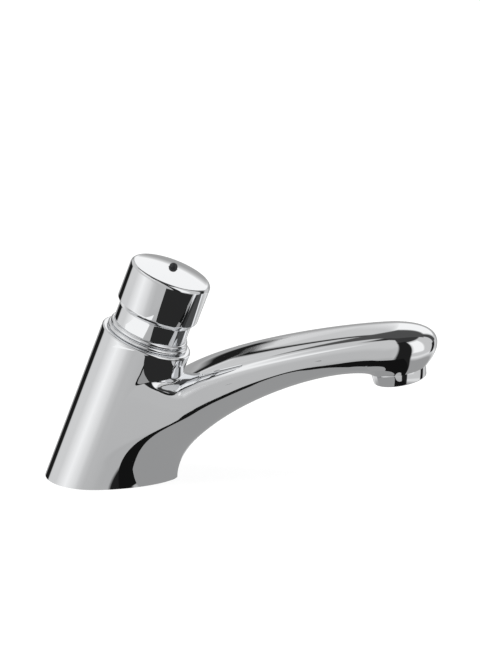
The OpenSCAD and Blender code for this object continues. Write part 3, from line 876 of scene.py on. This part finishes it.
    def round_valley(self, bm: bmesh.types.BMesh) -> None:
        """Smooths the valley between the barrel and the spout, as a casting's fillet does.

        Args:
            bm: the skin.
        """
        points = [self.edge_point(n) for n in range(self.flank_row + self.valley_skip, self.root_row + 1)]
        valley = KDTree(2 * len(points))
        for i, point in enumerate(points):
            for side in (1, -1):
                place = Vector((point.x + self.axes.barrel_foot_x, side * point.y, point.z)) * MM
                valley.insert(place, 2 * i + (side > 0))
        valley.balance()
        foot = Vector((self.axes.barrel_foot_x, 0, 0))
        inner_r = (self.counterbore_r + self.barrel_r) / 2
        skin = [v for v in bm.verts if self.from_axis(v.co / MM - foot) > inner_r]
        near = [(valley.find(v.co)[2], v) for v in skin]
        for i in range(self.valley_passes):
            reach = self.valley_round * (1 - self.valley_taper * i / self.valley_passes) * MM
            bmesh.ops.smooth_vert(bm, verts=[v for gap, v in near if gap < reach], factor=self.smooth_factor,
                                  use_axis_x=True, use_axis_y=True, use_axis_z=True)

    def sink_hole(self, bm: bmesh.types.BMesh, x: float,
                  steps: list[tuple[float, float]]) -> list[bmesh.types.BMEdge]:
        """Sinks a stepped round hole in the sole.

        Args:
            bm: the skin.
            x: place of the hole's axis.
            steps: radius and depth of each step, from the sole up.

        Returns:
            The edges of the hole's rim in the sole.
        """
        place = Matrix.Translation((x * MM, 0, 0))
        circle = bmesh.ops.create_circle(bm, segments=self.hole_facets, radius=steps[0][0] * MM,
                                         cap_ends=False, matrix=place)["verts"]
        ring = rim = edges_at(circle)
        for (before, low), (after, high) in zip(steps, steps[1:]):
            made = bmesh.ops.extrude_edge_only(bm, edges=ring)["geom"]
            verts = only(made, bmesh.types.BMVert)
            ring = only(made, bmesh.types.BMEdge)
            bmesh.ops.scale(bm, vec=(after / before, after / before, 1), verts=verts,
                            space=place.inverted())
            bmesh.ops.translate(bm, vec=(0, 0, (high - low) * MM), verts=verts)
        bmesh.ops.contextual_create(bm, geom=ring)
        return rim

    def close_sole(self, bm: bmesh.types.BMesh) -> None:
        """Closes the sole with the seal's groove and the inlet and stud holes.

        Args:
            bm: the skin, open at the deck.
        """
        edge = [e for e in bm.edges if e.is_boundary]
        sole = bmesh.ops.contextual_create(bm, geom=edge)["faces"][0]
        bmesh.ops.inset_region(bm, faces=[sole], thickness=self.seal_inset * MM, use_even_offset=True)
        band = bmesh.ops.inset_region(bm, faces=[sole], thickness=self.seal_w * MM,
                                      use_even_offset=True)["faces"]
        raised = bmesh.ops.extrude_face_region(bm, geom=band)["geom"]
        bmesh.ops.delete(bm, geom=[f for f in band if f.is_valid], context="FACES_ONLY")
        bmesh.ops.translate(bm, vec=(0, 0, self.seal_groove * MM), verts=only(raised, bmesh.types.BMVert))
        inner = list(sole.edges)
        bmesh.ops.delete(bm, geom=[sole], context="FACES_ONLY")
        inlet = [(self.inlet_r, 0.0), (self.inlet_r, self.inlet_depth), (self.strainer_r, self.inlet_depth),
                 (self.strainer_r, self.strainer_top)]
        stud = [(self.stud_r, 0.0), (self.stud_r, self.stud_depth)]
        rims = self.sink_hole(bm, 0.0, inlet) + self.sink_hole(bm, self.stud_x, stud)
        bmesh.ops.triangle_fill(bm, edges=inner + rims, use_beauty=True)

    def build(self) -> bpy.types.Object:
        """Builds and dresses the casting.

        Returns:
            The casting.
        """
        bm = self.build_skin()
        self.round_valley(bm)
        self.close_sole(bm)
        bmesh.ops.recalc_face_normals(bm, faces=bm.faces[:])
        return finished_piece(bm, "casting", Body.TAP, Slot.CHROME, ("body_casting",))


@dataclass
class Button:
    """The push button: domed head, tapered neck and skirt, and its marker dot, sizes in millimetres."""

    axes: Axes
    skirt_r: float = 16.2
    skirt_bore_r: float = 14.6
    skirt_bottom: float = 62.5
    cone_bottom: float = 78.9
    head_bottom: float = 81.3
    head_r: float = 18.0
    head_round: float = 1.8
    head_top: float = 99.0
    dome_rise: float = 1.9
    roof: float = 97.0
    boss_r: float = 6.5
    boss_bottom: float = 80.3
    spindle_bore_r: float = 3.55
    spindle_top: float = 96.45
    marker_bore_r: float = 1.85
    marker_r: float = 1.8
    marker_depth: float = 1.6
    marker_neck: float = 0.4
    edge_round: float = 0.3
    facets: int = 160
    edge_steps: int = 6
    dome_steps: int = 24
    marker_facets: int = 48
    marker_steps: int = 12

    def build_cap(self) -> bpy.types.Object:
        """Builds and dresses the chromed cap.

        Returns:
            The cap.
        """
        edge_r = self.head_r - self.head_round
        crown_r = (edge_r ** 2 + self.dome_rise ** 2) / (2 * self.dome_rise)
        apex = self.head_top + self.dome_rise
        start = acos((crown_r - self.dome_rise) / crown_r)
        stop = acos((crown_r ** 2 - self.marker_bore_r ** 2) ** 0.5 / crown_r)
        lathe = Lathe(0, self.spindle_top)
        lathe.line(self.spindle_bore_r, self.spindle_top).line(self.spindle_bore_r, self.boss_bottom)
        lathe.line(self.boss_r, self.boss_bottom).line(self.boss_r, self.roof)
        lathe.line(self.skirt_bore_r, self.roof).line(self.skirt_bore_r, self.skirt_bottom)
        lathe.line(self.skirt_r, self.skirt_bottom).line(self.skirt_r, self.cone_bottom)
        lathe.line(self.head_r, self.head_bottom).line(self.head_r, self.head_top - self.head_round)
        lathe.arc(edge_r, self.head_top - self.head_round, -90, self.edge_steps)
        lathe.arc(0, apex - crown_r, degrees(stop - start), self.dome_steps)
        lathe.line(self.marker_bore_r, apex - self.marker_depth).line(0, apex - self.marker_depth)
        bm = lathe.turn(self.facets, self.axes.barrel())
        soften(bm, self.edge_round)
        return finished_piece(bm, "push_cap", Body.PLUNGER, Slot.CHROME, ("push_button",))

    def build_marker(self) -> bpy.types.Object:
        """Builds and dresses the marker, a plug with a round head that stands proud of the cap.

        Returns:
            The marker.
        """
        apex = self.head_top + self.dome_rise
        bottom = apex - self.marker_depth
        shoulder = apex + self.marker_neck
        lathe = Lathe(0, bottom)
        lathe.line(self.marker_r, bottom).line(self.marker_r, shoulder)
        lathe.arc(0, shoulder, -90, self.marker_steps)
        bm = lathe.turn(self.marker_facets, self.axes.barrel())
        return finished_piece(bm, "marker_dot", Body.PLUNGER, Slot.DARK_PLASTIC, ("button_marker",))

    def build(self) -> None:
        """Builds the cap and its marker."""
        self.build_cap()
        self.build_marker()


@dataclass
class Collar:
    """The beaded ring in the barrel's rim that guides the button, sizes in millimetres."""

    axes: Axes
    bore_r: float = 16.25
    outer_r: float = 18.0
    bottom: float = 54.2
    rim: float = 67.5
    height: float = 4.0
    bead_step: float = 0.7
    wiper_bottom: float = 63.0
    wiper_h: float = 2.2
    wiper_depth: float = 0.9
    bead_steps: int = 14
    facets: int = 128

    def build(self) -> bpy.types.Object:
        """Builds and dresses the ring.

        Returns:
            The ring.
        """
        # The two beads above the rim are half rounds, so a bead's radius is a quarter of the height
        bead = self.height / 4
        low_r = self.outer_r - bead
        high_r = low_r - self.bead_step
        top = self.rim + self.height
        groove_r = self.bore_r + self.wiper_depth
        lathe = Lathe(self.bore_r, self.bottom)
        lathe.line(self.outer_r, self.bottom).line(self.outer_r, self.rim).line(low_r, self.rim)
        lathe.arc(low_r, self.rim + bead, -180, self.bead_steps)
        lathe.line(high_r, self.rim + 2 * bead).arc(high_r, top - bead, -180, self.bead_steps)
        lathe.line(self.bore_r, top).line(self.bore_r, self.wiper_bottom + self.wiper_h)
        lathe.line(groove_r, self.wiper_bottom + self.wiper_h).line(groove_r, self.wiper_bottom)
        lathe.line(self.bore_r, self.wiper_bottom).close()
        bm = lathe.turn(self.facets, self.axes.barrel())
        return finished_piece(bm, "guide_collar", Body.TAP, Slot.CHROME, ("collar_ring",))


@dataclass
class AeratorRing:
    """The screwed ring under the spout's mouth that holds the aerator, sizes in millimetres."""

    axes: Axes
    top_r: float = 12.0
    bottom_r: float = 11.4
    drop: float = 5.2
    thread_r: float = 11.0
    thread_top: float = 9.0
    bore_r: float = 9.6
    lip_r: float = 8.7
    lip: float = 1.0
    edge_round: float = 0.4
    facets: int = 128

    def build(self) -> bpy.types.Object:
        """Builds and dresses the ring.

        Returns:
            The ring.
        """
        lathe = Lathe(self.bore_r, self.thread_top)
        lathe.line(self.thread_r, self.thread_top).line(self.thread_r, 0).line(self.top_r, 0)
        lathe.line(self.bottom_r, -self.drop).line(self.lip_r, -self.drop)
        lathe.line(self.lip_r, self.lip - self.drop).line(self.bore_r, self.lip - self.drop).close()
        bm = lathe.turn(self.facets, self.axes.outlet())
        soften(bm, self.edge_round)
        return finished_piece(bm, "aerator_ring", Body.TAP, Slot.CHROME, ("aerator_housing",))


@dataclass
class ReturnSpring:
    """The coil spring under the piston, which shortens as the button goes down; it is wound here at one
    length, sizes in millimetres.
    """

    axes: Axes
    start: float = 32.9
    length: float = 11.0
    wire_r: float = 0.45
    coil_r: float = 8.35
    turns: int = 4
    steps_a_turn: int = 40
    wire_facets: int = 12
    travel: float = 6.0

    def build(self) -> bpy.types.Object:
        """Winds the wire and dresses it.

        Returns:
            The spring.
        """
        bm = bmesh.new()
        wire_start = Vector((self.coil_r, 0, self.wire_r)) * MM
        stand = Matrix.Translation(wire_start) @ Matrix.Rotation(pi / 2, 4, "X")
        wire = bmesh.ops.create_circle(bm, segments=self.wire_facets, radius=self.wire_r * MM,
                                       cap_ends=False, matrix=stand)["verts"]
        ring = edges_at(wire)
        steps = self.turns * self.steps_a_turn
        rise = (self.length - 2 * self.wire_r) / steps * MM
        made = bmesh.ops.spin(bm, geom=wire + ring, cent=(0, 0, 0), axis=(0, 0, 1), dvec=(0, 0, rise),
                              angle=2 * pi * self.turns, steps=steps, use_duplicate=False)
        bmesh.ops.contextual_create(bm, geom=ring)
        bmesh.ops.contextual_create(bm, geom=only(made["geom_last"], bmesh.types.BMEdge))
        bmesh.ops.recalc_face_normals(bm, faces=bm.faces[:])
        foot = self.axes.barrel() @ Matrix.Translation((0, 0, self.start * MM))
        bmesh.ops.transform(bm, matrix=foot, verts=bm.verts[:])
        piece = finished_piece(bm, "coil_spring", Body.TAP, Slot.STEEL, ("return_spring",))
        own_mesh(piece)
        return piece


@dataclass
class InnerWorks:
    """The part's own solids that are shown as they are, by the slot that gives their finish."""

    nodes: dict[Slot, tuple[str, ...]] = field(default_factory=lambda: {
        Slot.BRASS: ("valve_seat", "cartridge_sleeve", "cartridge_guide", "button_lock_nut", "valve_carrier",
                     "valve_nut"),
        Slot.STEEL: ("inlet_strainer", "spring_washer", "metering_pin", "spindle", "retaining_ring",
                     "aerator_screen"),
        Slot.RUBBER: ("base_seal", "seat_o_ring", "sleeve_o_ring", "guide_gasket", "spindle_seal",
                      "wiper_seal", "piston_seal", "valve_washer", "aerator_gasket"),
        Slot.ACETAL: ("piston", "aerator_insert"),
    })

    def dress(self) -> None:
        """Gives each node its finish."""
        for slot, names in self.nodes.items():
            for name in names:
                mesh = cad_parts[name].data
                mesh.materials.clear()
                mesh.materials.append(FINISH_OF_SLOT[slot].material())
                log.info("%s: dressed as %s", name, slot.value)


@dataclass
class StudioCamera:
    """The camera at the picture's viewing angle, sizes in millimetres and degrees."""

    azimuth: float = 5.0
    elevation: float = 18.47
    distance: float = 2374.0
    focus: tuple[float, float, float] = (37.5, 0.0, 45.0)
    aim_right: float = 18.07
    aim_up: float = 18.79
    lens: float = 414.9
    sensor_width: float = 36.0
    clip_end: float = 20000.0

    def build(self) -> bpy.types.Object:
        """Makes the camera and hands it to the scene.

        Returns:
            The camera.
        """
        turn, lift = radians(self.azimuth), radians(self.elevation)
        right = Vector((cos(turn), sin(turn), 0))
        back = Vector((sin(turn) * cos(lift), -cos(turn) * cos(lift), sin(lift)))
        up = back.cross(right)
        aim = Vector(self.focus) + right * self.aim_right + up * self.aim_up
        data = bpy.data.cameras.new("studio_camera")
        data.lens = self.lens
        data.sensor_width = self.sensor_width
        data.sensor_fit = "HORIZONTAL"
        data.clip_end = self.clip_end * MM
        camera = add_object("studio_camera", data)
        facing = Matrix((right, up, back)).transposed().to_4x4()
        camera.matrix_world = Matrix.Translation((aim + back * self.distance) * MM) @ facing
        bpy.context.scene.camera = camera
        return camera


def show_shade(tree: bpy.types.NodeTree, hex_shade: str, factor: bpy.types.NodeSocket,
               shade_at: int) -> None:
    """Ends a board's node tree in a plain shade that a factor can make clear.

    Args:
        tree: the board's node tree.
        hex_shade: what mirrors see.
        factor: what chooses between the shade and clear.
        shade_at: the factor's value, 0 or 1, at which the shade is full.
    """
    clear = add_node(tree, "ShaderNodeBsdfTransparent").outputs[0]
    shade = add_node(tree, "ShaderNodeEmission", {"Color": linear(hex_shade)}).outputs[0]
    ends = (clear, shade) if shade_at else (shade, clear)
    blend = add_node(tree, "ShaderNodeMixShader", None, {0: factor, 1: ends[0], 2: ends[1]}).outputs[0]
    add_node(tree, "ShaderNodeOutputMaterial", None, {"Surface": blend})


def mirror_only(mesh: bpy.types.Mesh) -> bpy.types.Object:
    """Sets up a mesh of the stage that shows in mirrors alone.

    Args:
        mesh: the finished mesh.

    Returns:
        The new object.
    """
    board = add_object(mesh.name, mesh)
    board.visible_camera = False
    board.visible_diffuse = False
    board.visible_shadow = False
    return board


@dataclass(frozen=True)
class Card:
    """A curved board of the studio that only mirrors see, by its place round the tap in degrees.

    Azimuth 0 is on the camera's side and grows to the right, and elevation is above the level.
    The soft angle is half of the width of a faded edge.
    """

    name: str
    hex_shade: str
    azimuth: tuple[float, float]
    elevation: tuple[float, float]
    soft: float
    facet: float = 5.0
    least_lines: int = 4
    pole: float = 90.0

    def spread(self, ends: tuple[float, float], steps: int, index: int) -> tuple[float, float]:
        """Angle of a grid line, and how much the board covers there.

        Args:
            ends: first and last angle of the board.
            steps: number of steps between them.
            index: number of the grid line.

        Returns:
            The angle, and 0 on the faded edge or 1 inside it.
        """
        if index == 0:
            return ends[0] - self.soft, 0.0
        if index == steps:
            return ends[1] + self.soft, 0.0
        return mix(ends[0] + self.soft, ends[1] - self.soft, (index - 1) / (steps - 2)), 1.0

    def material(self) -> bpy.types.Material:
        """Makes the board's plain shade, which fades out at its edges.

        Returns:
            The material.
        """
        made, tree = blank_material(self.name)
        cover = add_node(tree, "ShaderNodeAttribute", {"attribute_name": "cover"}).outputs["Fac"]
        show_shade(tree, self.hex_shade, cover, 1)
        return made

    def build(self, centre: Vector, distance: float) -> bpy.types.Object:
        """Bends a grid round the tap.

        Args:
            centre: middle of the tap.
            distance: how far from it the board stands.

        Returns:
            The board, which is part of the stage.
        """
        spans = (ends[1] - ends[0] for ends in (self.azimuth, self.elevation))
        columns, rows = (self.least_lines + int(span / self.facet) for span in spans)
        bm = bmesh.new()
        cover = bm.verts.layers.float.new("cover")
        for vert, row, column in unit_grid(bm, rows, columns):
            turn, wide = self.spread(self.azimuth, columns, column)
            lift, high = self.spread(self.elevation, rows, row)
            turn, lift = radians(turn), radians(max(min(lift, self.pole), -self.pole))
            vert.co = centre + distance * Vector((sin(turn) * cos(lift), -cos(turn) * cos(lift), sin(lift)))
            vert[cover] = wide * high
        return mirror_only(covered_mesh(bm, self.name, self.material()))


def bend(start: tuple[float, float], leave: tuple[float, float], arrive: tuple[float, float],
         end: tuple[float, float], steps: int = 24) -> tuple[tuple[float, float], ...]:
    """Points along a cubic curve on a level board.

    Args:
        start: first point.
        leave: control point that the curve leaves towards.
        arrive: control point that it arrives from.
        end: last point.
        steps: stretches of the curve.

    Returns:
        The points from start to end.
    """
    controls = [Vector(point) for point in (start, leave, arrive, end)]
    return tuple(tuple(bezier(controls, i / steps)) for i in range(steps + 1))


def oblong(left: float, right: float, near: float, far: float) -> tuple[tuple[float, float], ...]:
    """Corners of an oblong on a level board."""
    return (left, far), (right, far), (right, near), (left, near)


@dataclass(frozen=True)
class Sheet:
    """A level board by the tap that only mirrors see, and only from above, in millimetres."""

    name: str
    hex_shade: str
    level: float
    outline: tuple[tuple[float, float], ...]

    def material(self) -> bpy.types.Material:
        """Makes the board's plain shade, which is clear from below.

        Returns:
            The material.
        """
        made, tree = blank_material(self.name)
        below = add_node(tree, "ShaderNodeNewGeometry").outputs["Backfacing"]
        show_shade(tree, self.hex_shade, below, 0)
        return made

    def build(self) -> bpy.types.Object:
        """Draws the outline and fills it.

        Returns:
            The board, which is part of the stage.
        """
        bm = bmesh.new()
        first = pen = bm.verts.new(Vector((*self.outline[0], self.level)) * MM)
        for point in self.outline[1:]:
            pen = bmesh.ops.extrude_vert_indiv(bm, verts=[pen])["verts"][0]
            pen.co = Vector((*point, self.level)) * MM
        bm.edges.new((pen, first))
        board = bmesh.ops.contextual_create(bm, geom=bm.edges[:])["faces"]
        bmesh.ops.triangulate(bm, faces=board)
        bm.normal_update()
        bmesh.ops.reverse_faces(bm, faces=[face for face in bm.faces if face.normal.z < 0])
        return mirror_only(covered_mesh(bm, self.name, self.material()))


@dataclass
class Studio:
    """A white studio: a pale floor, a soft lamp and boards for the chrome to mirror, sizes in metres."""

    floor_size: float = 6.0
    floor_gap: float = 0.0002
    floor_paper: str = "#8A8A8A"
    floor_glow: str = "#F0F0F0"
    fill_level: float = 0.6
    lamp_size: float = 1.6
    lamp_power: float = 22.0
    lamp_place: tuple[float, float, float] = (-0.5, -0.4, 1.9)
    lamp_tilt: float = -14.0
    centre: tuple[float, float, float] = (0.05, 0.0, 0.05)
    board_distance: float = 3.0
    board_step: float = 0.06
    # Each board stands in front of the ones before it
    boards: tuple[Card, ...] = (
        Card("pale_room", "#CCCCCC", (-190.0, 190.0), (-24.0, 100.0), 3.0),
        Card("front_wall", "#BEBEBE", (-46.0, 22.0), (-40.0, 34.0), 12.0),
        Card("grey_ground", "#9E9E9E", (-190.0, 190.0), (-100.0, -29.0), 6.0),
        Card("left_ground", "#B4B4B4", (-70.0, 30.0), (-60.0, -24.0), 8.0),
        Card("rear_wall", "#A6A6A6", (150.0, 210.0), (-24.0, 9.0), 3.0),
        Card("left_wall", "#D6D6D6", (-124.0, -34.0), (-30.0, 30.0), 10.0),
        Card("left_screen", "#FAFAFA", (-80.0, -50.0), (-40.0, 30.0), 14.0),
        Card("upper_screen", "#FAFAFA", (-132.0, -18.0), (57.0, 70.0), 5.0),
        Card("rear_screen", "#FFFFFF", (140.0, 206.0), (14.0, 48.0), 2.0),
        Card("rear_shade", "#CECECE", (186.0, 208.0), (14.0, 50.0), 3.0),
        Card("rear_line", "#181818", (194.3, 196.3), (13.0, 52.0), 0.6),
        Card("overhead_flag", "#2C2C2C", (-190.0, 190.0), (83.0, 100.0), 2.0),
        Card("upper_flag", "#383838", (18.0, 142.0), (60.0, 100.0), 2.0),
        Card("rear_flag", "#505050", (106.0, 212.0), (50.0, 88.0), 2.5),
        Card("rear_slot", "#1E1E1E", (192.0, 210.0), (8.8, 13.2), 1.0),
        Card("left_flag", "#1C1C1C", (-150.0, -124.0), (-16.0, 14.0), 2.0),
        Card("front_flag", "#202020", (19.0, 41.0), (-56.0, 66.0), 1.5),
        Card("right_flag", "#181818", (106.0, 124.0), (-26.0, 6.0), 2.0),
        Card("edge_flag", "#484848", (113.0, 133.0), (4.0, 54.0), 2.0),
        Card("right_screen", "#FFFFFF", (43.0, 72.0), (-8.0, 54.0), 3.0),
    )
    sheets: tuple[Sheet, ...] = (
        Sheet("ground_line", "#141414", 0.05,
              bend((4.0, -16.0), (27.0, -50.0), (-4.0, -165.0), (84.0, -173.0))
              + bend((86.0, -173.0), (104.0, -174.0), (104.0, -70.0), (150.0, -96.0))
              + ((176.0, -112.0), (160.0, -50.0), (118.0, -26.0))),
        Sheet("ground_board", "#9A9A9A", 0.1,
              bend((12.0, -12.0), (32.0, -45.0), (4.0, -150.0), (80.0, -157.0))
              + bend((82.0, -157.0), (98.0, -156.0), (103.0, -110.0), (110.0, -20.0))
              + ((110.0, 14.0), (14.0, 14.0))),
        Sheet("low_shelf", "#2A2A2A", 49.0, oblong(19.0, 50.0, -64.0, -12.0)),
        Sheet("pale_shelf", "#FFFFFF", 63.5, oblong(-70.0, 12.0, -57.0, -21.0)),
        Sheet("high_shelf", "#2A2A2A", 60.0, oblong(20.0, 92.0, -185.0, -21.0)),
    )

    def light_world(self) -> None:
        """Makes a world that is white where it is seen, in mirrors too."""
        scene = bpy.context.scene
        scene.view_settings.view_transform = "Standard"
        world = bpy.data.worlds.new("studio")
        scene.world = world
        world.use_nodes = True
        tree = world.node_tree
        tree.nodes.clear()
        path = add_node(tree, "ShaderNodeLightPath").outputs
        seen = add_node(tree, "ShaderNodeMath", {"operation": "MAXIMUM"},
                        {0: path["Is Camera Ray"], 1: path["Is Glossy Ray"]}).outputs[0]
        shown = add_node(tree, "ShaderNodeMath", {"operation": "MAXIMUM"},
                         {0: seen, 1: path["Is Transmission Ray"]}).outputs[0]
        level = add_node(tree, "ShaderNodeMapRange", {"To Min": self.fill_level, "To Max": 1.0},
                         {"Value": shown}).outputs[0]
        light = add_node(tree, "ShaderNodeBackground", {"Color": linear("#FFFFFF")}, {"Strength": level})
        add_node(tree, "ShaderNodeOutputWorld", None, {"Surface": light.outputs[0]})

    def lay_floor(self) -> bpy.types.Object:
        """Lays the pale floor, white in the picture but for the tap's soft shadow.

        Returns:
            The floor, which is part of the stage.
        """
        made, tree = blank_material("pale_floor")
        paper = add_node(tree, "ShaderNodeBsdfDiffuse", {"Color": linear(self.floor_paper)}).outputs[0]
        glow = add_node(tree, "ShaderNodeEmission", {"Color": linear(self.floor_glow)}).outputs[0]
        whole = add_node(tree, "ShaderNodeAddShader", None, {0: paper, 1: glow}).outputs[0]
        add_node(tree, "ShaderNodeOutputMaterial", None, {"Surface": whole})
        bm = bmesh.new()
        bmesh.ops.create_grid(bm, x_segments=1, y_segments=1, size=self.floor_size / 2,
                              matrix=Matrix.Translation((0, 0, -self.floor_gap)))
        floor = add_object("pale_floor", covered_mesh(bm, "pale_floor", made))
        floor.visible_glossy = False
        return floor

    def hang_lamp(self) -> bpy.types.Object:
        """Hangs one wide soft lamp over the tap.

        Returns:
            The lamp.
        """
        data = bpy.data.lights.new("soft_lamp", "AREA")
        data.shape = "DISK"
        data.size = self.lamp_size
        data.energy = self.lamp_power
        lamp = add_object("soft_lamp", data)
        tilt = Matrix.Rotation(radians(self.lamp_tilt), 4, "Y")
        lamp.matrix_world = Matrix.Translation(self.lamp_place) @ tilt
        lamp.visible_glossy = False
        return lamp

    def build(self) -> None:
        """Builds the studio."""
        self.light_world()
        self.lay_floor()
        self.hang_lamp()
        for i, board in enumerate(self.boards):
            board.build(Vector(self.centre), self.board_distance - i * self.board_step)
            log.info("%s stands in the studio", board.name)
        for sheet in self.sheets:
            sheet.build()
            log.info("%s lies in the studio", sheet.name)


def main() -> None:
    """Builds the pieces in order, dresses the part's own nodes, and sets the studio and the camera."""
    logging.basicConfig(level=logging.INFO, format="%(name)s: %(message)s")
    axes = Axes()
    Casting(axes).build()
    Button(axes).build()
    Collar(axes).build()
    AeratorRing(axes).build()
    ReturnSpring(axes).build()
    InnerWorks().dress()
    Studio().build()
    StudioCamera().build()


if __name__ == "__main__":
    main()
